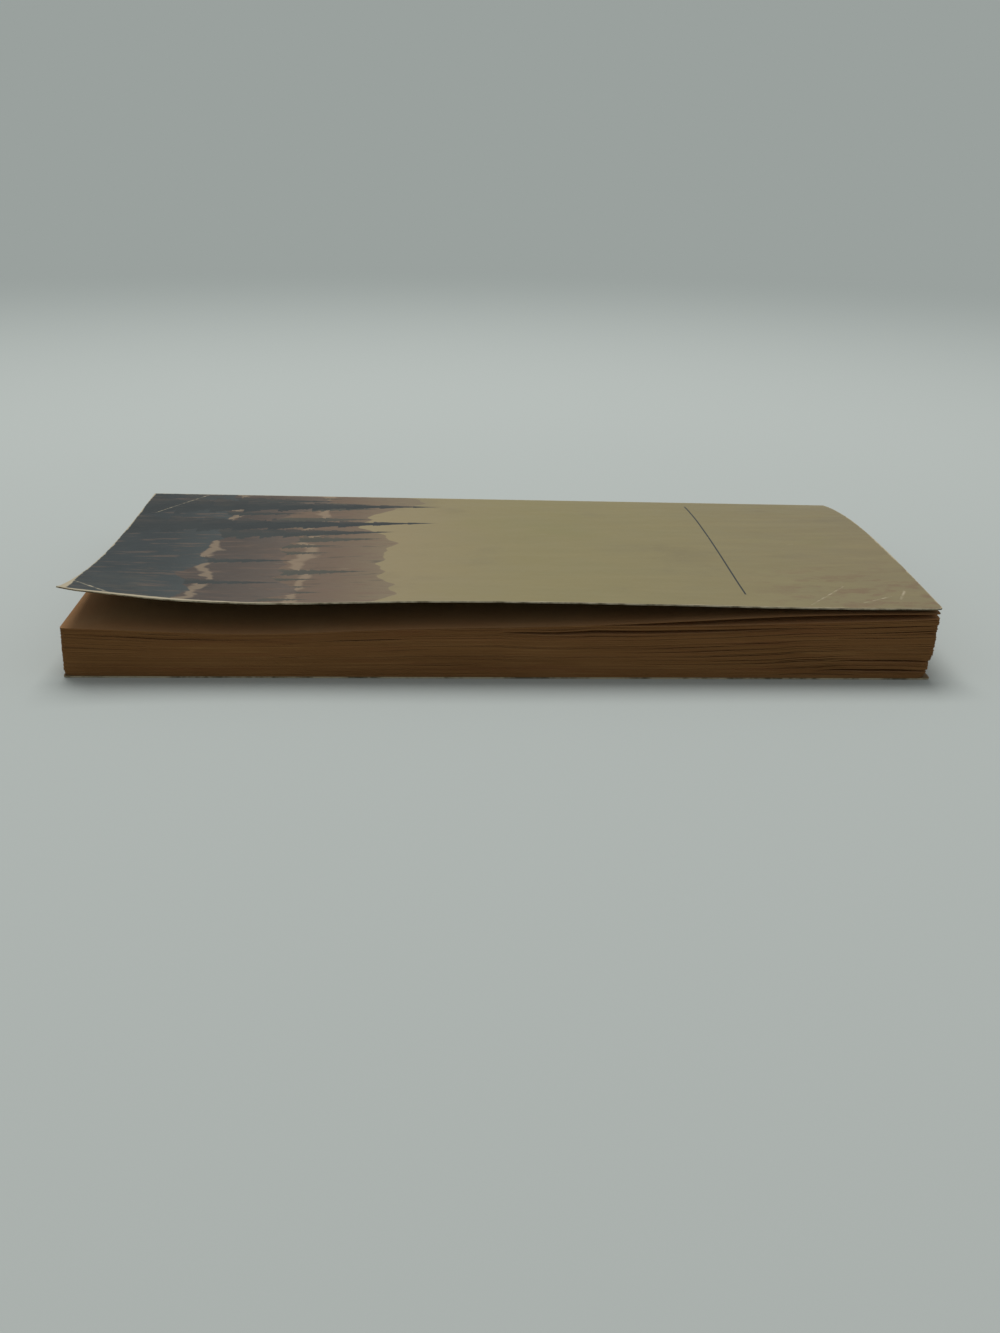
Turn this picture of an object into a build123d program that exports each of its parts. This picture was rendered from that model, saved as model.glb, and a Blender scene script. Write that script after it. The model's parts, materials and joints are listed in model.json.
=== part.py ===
"""A thin, well-read, perfect-bound paperback that lies on its back cover.

Millimetres. +X runs from the foot of the book to its head, +Y from the fore edge to the spine and +Z up.
The origin is in the middle of the book's footprint, on the surface it lies on.

The leaves are glued along one edge, so they lie tight at the spine and fan apart towards the fore edge,
most of all at the head. Damp has swollen the foot end of the spine. The front cover has curled away from
the leaves. Each cover hinges where the wrapper folds round the spine's edge.
"""

import math
import os

from build123d import *

# The trimmed book, and how far use has rounded the covers' fore corners.
BOOK_LENGTH = 175.0
BOOK_WIDTH = 106.0
CORNER_WEAR_RADIUS = 1.5

# The paper: the wrapper's card, the leaves and the film of hot-melt glue that holds them.
CARD = 0.3
LEAF_COUNT = 92
LEAF_THICKNESS = 0.095
GLUE_FILM = 0.5
COVER_CLEARANCE = 0.2

# How far damp has swollen the glued edge of the leaves at each end.
SPINE_SWELL_FOOT = 2.4
SPINE_SWELL_HEAD = 0.1

# Sections across the book, as shares of the way from foot to head, with the air that stands
# between the leaves at the fore edge there, and the gap from the first leaf up to the front cover.
STATIONS = (0.0, 0.1, 0.2, 0.36, 0.52, 0.68, 0.84, 1.0)
FORE_EDGE_AIR = (1.25, 0.6, 0.1, 1.05, 1.75, 2.85, 4.35, 4.85)
FORE_EDGE_GAP = (8.1, 6.9, 6.3, 5.7, 5.1, 3.6, 1.5, 0.9)

# Shape of a section from spine (0) to fore edge (1): leaves rise early and then run level, while
# the cover curls late at the foot and bows early at the head.
SECTION_STEPS = (0.0, 0.08, 0.2, 0.4, 0.7, 1.0)
LEAF_BOW = 3.0
COVER_BOW = 3.5
COVER_CURL = 3.2

# The lower leaves and the back cover stop short at the head, where the book leans out of square.
HEAD_LEAN = 1.1

# Gaps that stand open between leaves at the fore edge. Along the book they run from start to end,
# as shares of the way from foot to head, and a share over 1 runs out through the head. Up the
# block they sit at a share of its height. Opening and depth are in millimetres.
LEAF_GAPS = (
    {"start": 0.01, "end": 0.23, "low": 0.92, "high": 0.945, "opening": 0.25, "depth": 9.0},
    {"start": 0.47, "end": 0.83, "low": 0.82, "high": 0.765, "opening": 0.75, "depth": 22.0},
    {"start": 0.61, "end": 1.02, "low": 0.955, "high": 0.955, "opening": 1.2, "depth": 34.0},
    {"start": 0.88, "end": 1.03, "low": 0.24, "high": 0.24, "opening": 0.4, "depth": 12.0},
    {"start": 0.87, "end": 1.03, "low": 0.11, "high": 0.11, "opening": 0.55, "depth": 14.0},
)
# The swell of a gap from one end to the other, as a share of its length and of its opening.
GAP_SWELL = ((0.2, 0.64), (0.5, 1.0), (0.8, 0.64))

# How far a cutting or trimming shape runs past what it cuts.
OVERRUN = 1.0

FORE_EDGE_Y = -BOOK_WIDTH / 2
SPINE_OUTER_Y = BOOK_WIDTH / 2
SPINE_INNER_Y = SPINE_OUTER_Y - CARD
BLOCK_BACK_Y = SPINE_INNER_Y - GLUE_FILM
FOOT_X = -BOOK_LENGTH / 2
HEAD_X = BOOK_LENGTH / 2
PRESSED_TOP = CARD + LEAF_COUNT * LEAF_THICKNESS
LEAVES_TOP = PRESSED_TOP + max(*FORE_EDGE_AIR, SPINE_SWELL_FOOT, SPINE_SWELL_HEAD)


def share_to_x(share):
    """Place along the book at a share of the way from foot to head."""
    return FOOT_X + BOOK_LENGTH * share


def between(share, first, second):
    """Straight interpolation from first to second."""
    return first + (second - first) * share


def rise_early(share, power):
    """0 at the spine and 1 at the fore edge, steep first and level later."""
    return 1 - max(1 - share, 0) ** power


def block_spine_top(share):
    """Height of the leaves at their glued edge."""
    return PRESSED_TOP + between(share, SPINE_SWELL_FOOT, SPINE_SWELL_HEAD)


def fold_height(share):
    """Height of the outside of the wrapper's fold at the top of the spine."""
    return block_spine_top(share) + COVER_CLEARANCE + CARD


def block_fore_top(station):
    """Height of the leaves at the fore edge, at a numbered station."""
    return PRESSED_TOP + FORE_EDGE_AIR[station]


def station_between(values, share):
    """A value of the stations' tuple at any share of the way from foot to head."""
    for index in range(1, len(STATIONS)):
        if share <= STATIONS[index] or index == len(STATIONS) - 1:
            low, high = STATIONS[index - 1], STATIONS[index]
            step = min(1.0, (share - low) / (high - low))
            return between(step, values[index - 1], values[index])


def ribbon(share, far_y, under, over):
    """A closed section in the plane across the book, from the heights under and over it at each
    step from far_y at the spine to the fore edge. It runs on a little past both, to be trimmed."""
    x = share_to_x(share)
    width = far_y - FORE_EDGE_Y
    margin = OVERRUN / width
    steps = (-margin, *SECTION_STEPS, 1 + margin)
    low = [Vector(x, far_y - width * step, under(step)) for step in steps]
    high = [Vector(x, far_y - width * step, over(step)) for step in steps]
    bottom = Line(low[0], low[-1]) if len({p.Z for p in low}) == 1 else Spline(*low)
    edges = [bottom, Line(low[-1], high[-1]), Spline(*reversed(high)), Line(high[0], low[0])]
    return Wire([part.edge() for part in edges])


def block_section(station):
    """The leaves' section at a station: level underneath, fanned above."""
    share = STATIONS[station]
    spine_top = block_spine_top(share)
    rise = block_fore_top(station) - spine_top
    return ribbon(
        share,
        BLOCK_BACK_Y,
        lambda step: -OVERRUN,
        lambda step: spine_top + rise * rise_early(step, LEAF_BOW),
    )


def cover_section(station):
    """The front cover's section at a station, one card thick."""
    share = STATIONS[station]
    fold = fold_height(share)
    lift = block_fore_top(station) + FORE_EDGE_GAP[station] + CARD - fold

    def outside(step):
        curl = max(step, 0) ** COVER_CURL
        bow = rise_early(step, COVER_BOW)
        return fold + lift * between(share, curl, bow)

    return ribbon(share, SPINE_OUTER_Y, lambda step: outside(step) - CARD, outside)


def leaf_gap(start, end, low, high, opening, depth):
    """A gap that swells between its two ends and is widest at the fore edge: the outline that it
    has on the fore edge, driven straight in, and the wedge that closes it towards the spine."""
    first_x = share_to_x(start)
    last_x = share_to_x(end)
    first_z = CARD + low * (PRESSED_TOP - CARD + station_between(FORE_EDGE_AIR, start))
    last_z = CARD + high * (PRESSED_TOP - CARD + station_between(FORE_EDGE_AIR, end))
    mouth_y = FORE_EDGE_Y - OVERRUN

    def outline_point(share, rise):
        x = between(share, first_x, last_x)
        return x, mouth_y, between(share, first_z, last_z) + rise * opening / 2

    upper = [outline_point(share, swell) for share, swell in GAP_SWELL]
    lower = [outline_point(share, -swell) for share, swell in reversed(GAP_SWELL)]
    outline = Polyline(outline_point(0, 0), *upper, outline_point(1, 0), *lower, close=True)
    slot = extrude(make_face(outline), amount=depth + 2 * OVERRUN, dir=(0, 1, 0))

    mouth = opening / 2 * (depth + OVERRUN) / depth
    wedge_end = Polyline(
        (first_x, mouth_y, first_z - mouth),
        (first_x, mouth_y, first_z + mouth),
        (first_x, FORE_EDGE_Y + depth, first_z),
        close=True,
    )
    along = Vector(last_x - first_x, 0, last_z - first_z)
    return slot & extrude(make_face(wedge_end), amount=along.length, dir=along)


def leaning_prism(far_y):
    """Everything over the back cover from the fore edge to far_y, with a head end that leans out
    of square and is at its full length just above the leaves."""
    top = LEAVES_TOP + OVERRUN
    outline = Polyline(
        (FOOT_X, FORE_EDGE_Y, CARD),
        (HEAD_X - HEAD_LEAN, FORE_EDGE_Y, CARD),
        (HEAD_X, FORE_EDGE_Y, top),
        (FOOT_X, FORE_EDGE_Y, top),
        close=True,
    )
    return extrude(make_face(outline), amount=far_y - FORE_EDGE_Y, dir=(0, 1, 0))


def text_block():
    """All the leaves, held together by the glue at their back."""
    fan = loft([Face(block_section(station)) for station in range(len(STATIONS))])
    block = leaning_prism(BLOCK_BACK_Y) & fan
    for gap in LEAF_GAPS:
        block -= leaf_gap(**gap)
    return block


def upright_strip(near_y, thickness, bottom, foot_top, head_top):
    """A flat strip along the back of the book whose top slopes from foot to head."""
    outline = Polyline(
        (FOOT_X, near_y, bottom),
        (HEAD_X, near_y, bottom),
        (HEAD_X, near_y, head_top),
        (FOOT_X, near_y, foot_top),
        close=True,
    )
    return extrude(make_face(outline), amount=thickness, dir=(0, 1, 0))


def spine_glue():
    """The film of hot-melt glue between the leaves' back edge and the wrapper."""
    film = upright_strip(BLOCK_BACK_Y, GLUE_FILM, CARD, block_spine_top(0), block_spine_top(1))
    return film & leaning_prism(SPINE_INNER_Y)


def spine_panel():
    """The wrapper's spine, which stands between the two covers."""
    return upright_strip(SPINE_INNER_Y, CARD, CARD, fold_height(0) - CARD, fold_height(1) - CARD)


def cover_outline(length, middle_x, height):
    """A prism on a cover's plan, square at the hinge and worn round at the fore edge."""
    width = SPINE_OUTER_Y - FORE_EDGE_Y
    plan = Pos(middle_x, SPINE_OUTER_Y - width / 2, 0) * Rectangle(length, width)
    fore_corners = plan.vertices().group_by(Axis.Y)[0]
    return extrude(fillet(fore_corners, CORNER_WEAR_RADIUS), amount=height)


def front_cover():
    """The wrapper's front, curled up from the leaves."""
    sheet = loft([Face(cover_section(station)) for station in range(len(STATIONS))])
    return sheet & cover_outline(BOOK_LENGTH, 0, LEAVES_TOP + max(FORE_EDGE_GAP) + CARD)


def back_cover():
    """The wrapper's back, flat under the leaves."""
    return cover_outline(BOOK_LENGTH - HEAD_LEAN, -HEAD_LEAN / 2, CARD)


PIECES = {
    "text_block": text_block,
    "spine_glue": spine_glue,
    "spine_panel": spine_panel,
    "front_cover": front_cover,
    "back_cover": back_cover,
}

os.makedirs("parts", exist_ok=True)
for name, make in PIECES.items():
    export_step(make(), f"parts/{name}.step")

# Where the hinges lie, for the record of moving parts.
hinge_drop = math.degrees(math.atan2(fold_height(0) - fold_height(1), BOOK_LENGTH))
print(f"front fold: z {fold_height(0):.2f} at the foot, {fold_height(1):.2f} at the head")
print(f"front fold: falls {hinge_drop:.3f} degrees, at y {SPINE_OUTER_Y:.2f}")
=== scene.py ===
"""The looks of a thin, well-read pocket paperback that lies on its back cover.

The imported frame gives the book's pieces, their boxes and the line each cover turns about. This file dresses
them: every leaf as a thin sheet of browned paper, fanned apart towards the fore edge, and the folded wrapper
with its printed, coated and worn outside and its bare inside.

Sizes in the classes are millimetres, in the frame's own axes: +X from foot to head, +Y from the fore edge to
the spine, +Z up. Meshes are stored in metres.
"""

import json
import logging
import math
from dataclasses import dataclass
from enum import IntEnum

import bpy
import numpy as np
from mathutils import Matrix, Vector

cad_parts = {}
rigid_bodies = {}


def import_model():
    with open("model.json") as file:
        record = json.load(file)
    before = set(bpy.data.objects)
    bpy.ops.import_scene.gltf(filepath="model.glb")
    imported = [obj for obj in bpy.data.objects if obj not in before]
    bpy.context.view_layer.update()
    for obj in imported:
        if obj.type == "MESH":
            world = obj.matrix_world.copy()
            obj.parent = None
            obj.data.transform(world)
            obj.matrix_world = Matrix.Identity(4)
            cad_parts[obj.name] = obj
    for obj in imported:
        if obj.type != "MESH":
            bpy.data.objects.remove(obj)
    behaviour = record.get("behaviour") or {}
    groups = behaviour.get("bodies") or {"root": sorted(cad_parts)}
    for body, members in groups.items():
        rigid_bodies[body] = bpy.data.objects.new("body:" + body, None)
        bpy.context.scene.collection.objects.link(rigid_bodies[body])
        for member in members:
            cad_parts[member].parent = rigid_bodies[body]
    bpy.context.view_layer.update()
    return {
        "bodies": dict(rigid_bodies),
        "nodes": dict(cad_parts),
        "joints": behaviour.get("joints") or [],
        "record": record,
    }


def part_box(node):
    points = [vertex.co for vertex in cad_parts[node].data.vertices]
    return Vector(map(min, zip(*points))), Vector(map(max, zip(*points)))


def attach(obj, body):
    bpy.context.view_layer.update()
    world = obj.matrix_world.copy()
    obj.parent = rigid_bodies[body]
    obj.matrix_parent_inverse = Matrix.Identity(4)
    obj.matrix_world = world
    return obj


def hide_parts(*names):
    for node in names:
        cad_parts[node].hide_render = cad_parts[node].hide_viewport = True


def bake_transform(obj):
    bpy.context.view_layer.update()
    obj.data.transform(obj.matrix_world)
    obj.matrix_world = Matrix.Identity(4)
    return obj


LOG = logging.getLogger("paperback")
MM = 0.001
SEED = 7

Colour = tuple[float, float, float, float]
Array = np.ndarray


def tint(red: float, green: float, blue: float) -> Colour:
    """Turns a colour as a screen shows it, 0 to 255, into the linear colour that shaders take."""
    shares = np.array((red, green, blue)) / 255
    linear = np.where(shares <= 0.04045, shares / 12.92, ((shares + 0.055) / 1.055) ** 2.4)
    return (*(float(part) for part in linear), 1.0)


def smooth_step(value: Array, low: float, high: float) -> Array:
    """Rises from 0 at low to 1 at high along 3t^2 - 2t^3, level at both ends."""
    share = np.clip((value - low) / (high - low), 0, 1)
    return share * share * (3 - 2 * share)


def natural_spline(knots: Array, values: Array, at: Array) -> Array:
    """Evaluates the smooth curve through some points that is straight beyond its ends.

    The curve is a cubic between each pair of knots. Its curvatures at the knots solve one small linear
    system, in which neighbouring cubics meet with the same slope, and they are nil at both ends.

    Args:
        knots: Where the values are given, rising.
        values: The values there.
        at: Where to evaluate, any shape.

    Returns:
        The curve's values, in the shape of at.
    """
    step = np.diff(knots)
    slope = np.diff(values) / step
    size = len(knots)
    system = np.eye(size)
    right = np.zeros(size)
    for row in range(1, size - 1):
        system[row, row - 1 : row + 2] = step[row - 1], 2 * (step[row - 1] + step[row]), step[row]
        right[row] = 6 * (slope[row] - slope[row - 1])
    curvature = np.linalg.solve(system, right)
    span = np.clip(np.searchsorted(knots, at) - 1, 0, size - 2)
    after, before = at - knots[span], knots[span + 1] - at
    width = step[span]
    straight = (values[span] * before + values[span + 1] * after) / width
    bend_low = curvature[span] * (before**3 / width - before * width) / 6
    bend_high = curvature[span + 1] * (after**3 / width - after * width) / 6
    return straight + bend_low + bend_high


def soft_waves(at: Array, rng: np.random.Generator, count: int, longest: float) -> Array:
    """A gentle random line, the sum of sines whose waves shorten and flatten one after another.

    Args:
        at: Places along the line, any shape.
        rng: Where the phases and lengths come from.
        count: How many sines.
        longest: The first wave's length, in the units of at.

    Returns:
        Values between about -1 and 1.
    """
    total = np.zeros_like(at, dtype=float)
    for order in range(1, count + 1):
        length = longest / order * rng.uniform(0.8, 1.25)
        total += np.sin(2 * np.pi * (at / length + rng.uniform())) / order
    return total / sum(1 / order for order in range(1, count + 1))


class Face(IntEnum):
    """Sides of a thin sheet, in the order of its material slots."""

    UPPER = 0
    LOWER = 1
    RIM = 2


def closed_sheets(
    name: str, upper: Array, lower: Array, values: dict[str, Array], flat: Array | None = None
) -> bpy.types.Object:
    """Makes one object of closed thin sheets, each from the grids of its two faces and a rim between them.

    Rows run along +X. Columns run round the sheet in the sense that makes X cross columns point out of the
    upper face. The rim joins the two grids' borders point by point.

    Args:
        name: The object's name.
        upper: Points of the upper faces in millimetres, shape (sheets, rows, columns, 3).
        lower: Points of the lower faces, the same shape.
        values: Number attributes, each of shape (sheets, rows, columns), the same for both faces.
        flat: Places on the unrolled sheet in metres, shape (sheets, rows, columns, 2), kept as a UV map.

    Returns:
        The new object, linked to the scene.
    """
    sheets, rows, columns = upper.shape[:3]
    side = rows * columns
    grid = np.arange(side).reshape(rows, columns)
    top = np.stack([grid[:-1, :-1], grid[1:, :-1], grid[1:, 1:], grid[:-1, 1:]], -1).reshape(-1, 4)
    border = np.concatenate([grid[:, 0], grid[-1, 1:], grid[-2::-1, -1], grid[0, -2:0:-1]])
    after = np.roll(border, -1)
    rim = np.stack([border, border + side, after + side, after], -1)
    one = np.concatenate([top, top[:, ::-1] + side, rim])
    faces = (one[None] + (np.arange(sheets) * 2 * side)[:, None, None]).reshape(-1, 4)
    kinds = np.repeat([Face.UPPER, Face.LOWER, Face.RIM], [len(top), len(top), len(rim)])

    mesh = bpy.data.meshes.new(name)
    points = np.stack([upper, lower], 1).reshape(-1, 3) * MM
    mesh.vertices.add(len(points))
    mesh.vertices.foreach_set("co", points.astype(np.float32).ravel())
    mesh.loops.add(faces.size)
    mesh.loops.foreach_set("vertex_index", faces.ravel().astype(np.int32))
    mesh.polygons.add(len(faces))
    mesh.polygons.foreach_set("loop_start", np.arange(0, faces.size, 4, dtype=np.int32))
    mesh.polygons.foreach_set("material_index", np.tile(kinds, sheets).astype(np.int32))
    mesh.polygons.foreach_set("use_smooth", np.ones(len(faces), bool))
    mesh.update(calc_edges=True)
    mesh.set_sharp_from_angle(angle=math.radians(50))
    for key, numbers in values.items():
        both = np.stack([numbers, numbers], 1).ravel().astype(np.float32)
        mesh.attributes.new(key, "FLOAT", "POINT").data.foreach_set("value", both)
    if flat is not None:
        both = np.stack([flat, flat], 1).reshape(-1, 2)
        unrolled = both[faces.ravel()].astype(np.float32)
        mesh.uv_layers.new(name="sheet").data.foreach_set("uv", unrolled.ravel())
    mesh.validate()
    piece = bpy.data.objects.new(name, mesh)
    bpy.context.scene.collection.objects.link(piece)
    return piece


@dataclass
class BookShape:
    """The book's form as functions of place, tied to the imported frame.

    The stations are sections across the book, at shares of the way from foot to head. fore_edge_air is the
    air that stands between the leaves at the fore edge there, and fore_edge_gap the height from the first
    leaf up to the inside of the front cover.
    """

    stations: tuple[float, ...] = (0.0, 0.1, 0.2, 0.36, 0.52, 0.68, 0.84, 1.0)
    fore_edge_air: tuple[float, ...] = (1.25, 0.6, 0.1, 1.05, 1.75, 2.85, 4.35, 4.85)
    fore_edge_gap: tuple[float, ...] = (8.1, 6.9, 6.3, 5.7, 5.1, 3.6, 1.5, 0.9)
    leaf_bow: float = 3.0
    cover_bow: float = 3.5
    cover_curl: float = 3.2
    leaf_count: int = 92
    leaf_thickness: float = 0.095

    def read_frame(self, frame: dict) -> None:
        """Takes the trimmed size, the card, the back of the leaves and the folds from the frame."""
        low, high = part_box("front_cover")
        self.foot, self.head = low.x / MM, high.x / MM
        self.fore, self.spine = low.y / MM, high.y / MM
        self.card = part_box("back_cover")[1].z / MM
        self.back_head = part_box("back_cover")[1].x / MM
        self.glue_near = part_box("spine_glue")[0].y / MM
        self.leaves_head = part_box("text_block")[1].x / MM
        hinge = next(joint for joint in frame["joints"] if joint["child"] == "front_cover")
        self.fold_middle = hinge["pos_m"][2] / MM
        self.fold_slope = hinge["axis"][2] / hinge["axis"][0]
        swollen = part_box("spine_glue")[1].z / MM
        self.over_glue = float(self.fold(self.foot)) - swollen
        self.pressed_top = self.card + self.leaf_count * self.leaf_thickness

    def share(self, x: Array) -> Array:
        """Share of the way from foot to head."""
        return (x - self.foot) / (self.head - self.foot)

    def fold(self, x: Array) -> Array:
        """Height of the outside of the upper fold, a straight line from foot to head."""
        return self.fold_middle + self.fold_slope * x

    def glued_top(self, x: Array) -> Array:
        """Height of the leaves at their glued edge, a fixed distance under the fold."""
        return self.fold(x) - self.over_glue

    def fore_top(self, x: Array) -> Array:
        """Height of the leaves at the fore edge: their pressed height and a smooth curve of air."""
        knots, air = np.array(self.stations), np.array(self.fore_edge_air)
        return self.pressed_top + natural_spline(knots, air, self.share(x))

    def leaves_top(self, x: Array, inward: Array) -> Array:
        """Height of the uppermost leaf.

        The leaves rise early and then run level: 1 - (1 - t)^leaf_bow, with t from 0 at the glued edge to
        1 at the fore edge.

        Args:
            x: Place along the book.
            inward: Distance from the fore edge.

        Returns:
            Heights in the shape of x and inward together.
        """
        away = np.clip(inward / (self.glue_near - self.fore), 0, 1)
        low = self.glued_top(x)
        return low + (self.fore_top(x) - low) * (1 - away**self.leaf_bow)

    def cover_top(self, x: Array, inward: Array) -> Array:
        """Height of the outside of the front cover.

        With t from 0 at the fold to 1 at the fore edge, the foot end curls late, as t^cover_curl, and the
        head end bows early, as 1 - (1 - t)^cover_bow, and the sections between are a mix of the two.

        Args:
            x: Place along the book.
            inward: Distance from the fore edge.

        Returns:
            Heights in the shape of x and inward together.
        """
        away = np.clip(inward / (self.spine - self.fore), 0, 1)
        share = self.share(x)
        gap = natural_spline(np.array(self.stations), np.array(self.fore_edge_gap), share)
        lift = self.fore_top(x) + gap + self.card - self.fold(x)
        curl, bow = (1 - away) ** self.cover_curl, 1 - away**self.cover_bow
        return self.fold(x) + lift * (curl + (bow - curl) * share)


@dataclass(frozen=True)
class LeafGap:
    """A gap that stands open between two leaves at the fore edge.

    Attributes:
        under: How many leaves lie under it.
        start: Where it starts, as a share of the way from foot to head.
        end: Where it ends. Past 1 it runs out through the head.
        opening: Its widest, in millimetres.
        depth: How far in it reaches.
        skew: Where along it the widest place is: over 1 nearer the end, under 1 nearer the start.
    """

    under: int
    start: float
    end: float
    opening: float
    depth: float
    skew: float = 1.0

    def at(self, share: Array, inward: Array) -> Array:
        """The gap's height: a lens 4u(1 - u) along the book, closing inwards as (1 - d / depth)^1.5."""
        along = np.clip((share - self.start) / (self.end - self.start), 0, 1) ** self.skew
        closing = np.clip(1 - inward / self.depth, 0, 1) ** 1.5
        return self.opening * 4 * along * (1 - along) * closing


@dataclass
class Leaves:
    """The stack of leaves, each its own closed sheet.

    A leaf's height is the sum of the leaves and gaps under it. The widest gaps are named, many small ones
    are drawn at random, and what air is left over is shared among all leaves, so that the stack always
    fills the block's form.
    """

    shape: BookShape
    gaps: tuple[LeafGap, ...] = (
        LeafGap(91, 0.61, 1.1, 1.5, 40.0, 1.05),
        LeafGap(83, 0.5, 0.85, 0.85, 24.0, 0.7),
        LeafGap(86, 0.53, 0.6, 0.2, 4.0),
        LeafGap(79, 0.01, 0.24, 0.27, 10.0),
        LeafGap(86, 0.08, 0.14, 0.13, 5.0),
        LeafGap(74, 0.29, 0.39, 0.24, 9.0),
        LeafGap(70, 0.245, 0.27, 0.12, 4.0),
        LeafGap(22, 0.38, 0.46, 0.12, 5.0),
        LeafGap(42, 0.235, 0.285, 0.1, 5.0),
        LeafGap(53, 0.35, 0.43, 0.1, 5.0),
        LeafGap(57, 0.65, 0.78, 0.2, 8.0),
        LeafGap(60, 0.76, 0.84, 0.22, 8.0),
        LeafGap(50, 0.64, 0.84, 0.2, 8.0),
        LeafGap(41, 0.69, 0.86, 0.22, 9.0),
        LeafGap(32, 0.74, 0.83, 0.16, 6.0),
        LeafGap(80, 0.86, 1.02, 0.32, 12.0),
        LeafGap(72, 0.9, 1.03, 0.3, 11.0),
        LeafGap(64, 0.88, 1.02, 0.18, 9.0),
        LeafGap(24, 0.88, 1.04, 0.48, 14.0),
        LeafGap(11, 0.87, 1.03, 0.62, 16.0, 0.9),
        LeafGap(6, 0.82, 0.93, 0.22, 8.0),
    )
    small_gaps: int = 150
    columns_in: tuple[float, ...] = (0.0, 0.12, 0.35, 0.75, 1.4, 3.0, 6.0, 11.0, 18.0, 28.0, 45.0, 72.0)
    rows: int = 120
    pieces: tuple[str, ...] = ("leaves_lowest", "leaves_lower", "leaves_upper", "leaves_topmost")
    head_lean: float = 1.02
    head_notches: tuple[tuple[int, float], ...] = (
        (11, 0.25), (24, 0.35), (33, 0.2), (64, -0.1), (80, 0.15),
    )
    corner_wear: float = 0.8
    low_wear: float = 0.9
    low_leaves: int = 9
    least_air: float = 0.012
    head_scatter: float = 0.045
    foot_scatter: float = 0.03
    stand_back: float = 0.1
    edge_scatter: float = 0.028
    edge_drift: float = 0.035

    def heights(self, share: Array, inward: Array) -> tuple[Array, Array]:
        """Heights of every leaf's underside, and of its topside.

        Args:
            share: Shares along the book, shape (rows, 1).
            inward: Distances from the fore edge, shape (1, columns).

        Returns:
            Two arrays of shape (leaves, rows, columns).
        """
        shape = self.shape
        rng = np.random.default_rng(SEED)
        count = shape.leaf_count
        x = shape.foot + share * (shape.head - shape.foot)
        air = shape.leaves_top(x, inward) - shape.pressed_top
        stated = np.zeros((count, *np.broadcast(share, inward).shape))
        for gap in self.gaps:
            stated[gap.under] += gap.at(share, inward)
        small = np.full_like(stated, self.least_air)
        for _ in range(self.small_gaps):
            start, length = rng.uniform(-0.1, 0.95), rng.uniform(0.08, 0.45)
            depth, opening = rng.uniform(5, 30), rng.uniform(0.15, 1.0) ** 2
            gap = LeafGap(int(rng.integers(1, count)), start, start + length, opening, depth)
            small[gap.under] += gap.at(share, inward) * 0.3
        spare = np.maximum(air - stated.sum(0), 0)
        stated *= np.minimum(1, air / np.maximum(stated.sum(0), 1e-6))
        gaps = stated + small / small.sum(0) * spare
        under = shape.card + np.cumsum(gaps, 0) + np.arange(count)[:, None, None] * shape.leaf_thickness
        return under, under + shape.leaf_thickness

    def edges(self, under: Array, share: Array, inward: Array) -> tuple[Array, Array]:
        """Plan of every leaf, worked out from its height.

        The head end leans out with height and steps back under each notch. Corners are rounded: an inset of
        r - sqrt(r^2 - (r - d)^2) at a distance d from the fore edge. Each leaf stands a little in or out.

        Args:
            under: Heights of the leaves' undersides, shape (leaves, rows, columns).
            share: Shares along the book, shape (rows, 1).
            inward: Distances from the fore edge, shape (1, columns).

        Returns:
            X and Y of every point, shape (leaves, rows, columns).
        """
        shape = self.shape
        rng = np.random.default_rng(SEED + 1)
        count = shape.leaf_count
        rise = (under - shape.card) / (shape.fore_top(np.array(shape.head)) - shape.card)
        head = shape.leaves_head - self.head_lean * (1 - np.clip(rise, 0, 1))
        order = np.arange(count)
        for leaf, step in self.head_notches:
            head = head - step * (order < leaf)[:, None, None] * smooth_step(share, 0.9, 1.0)
        head = np.minimum(head + rng.normal(0, self.head_scatter, count)[:, None, None], shape.head)
        foot = shape.foot + np.abs(rng.normal(0, self.foot_scatter, count))[:, None, None]
        low_wear = np.clip(1 - order / self.low_leaves, 0, 1) * self.low_wear
        radius = (self.corner_wear + low_wear + rng.uniform(0, 0.5, count))[:, None, None]
        short = np.clip(radius - inward, 0, radius)
        inset = radius - np.sqrt(radius**2 - short**2)
        x = foot + inset + share * (head - foot - 2 * inset)
        group = np.cumsum(rng.normal(0, 0.02, count))
        group -= np.linspace(group[0], group[-1], count)
        own = rng.normal(0, self.edge_scatter, count) + group
        drift = np.stack([soft_waves(share[:, 0], rng, 4, 0.9) for _ in order]) * self.edge_drift
        out = np.clip(self.stand_back + own[:, None, None] + drift[:, :, None], 0, 0.4)
        settle = np.clip(1 - inward / 30, 0, 1)
        y = shape.fore + inward + (out + 0.25 * (low_wear[:, None, None] * (1 - share) ** 8)) * settle
        return np.broadcast_to(x, under.shape), np.broadcast_to(y, under.shape)

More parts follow.
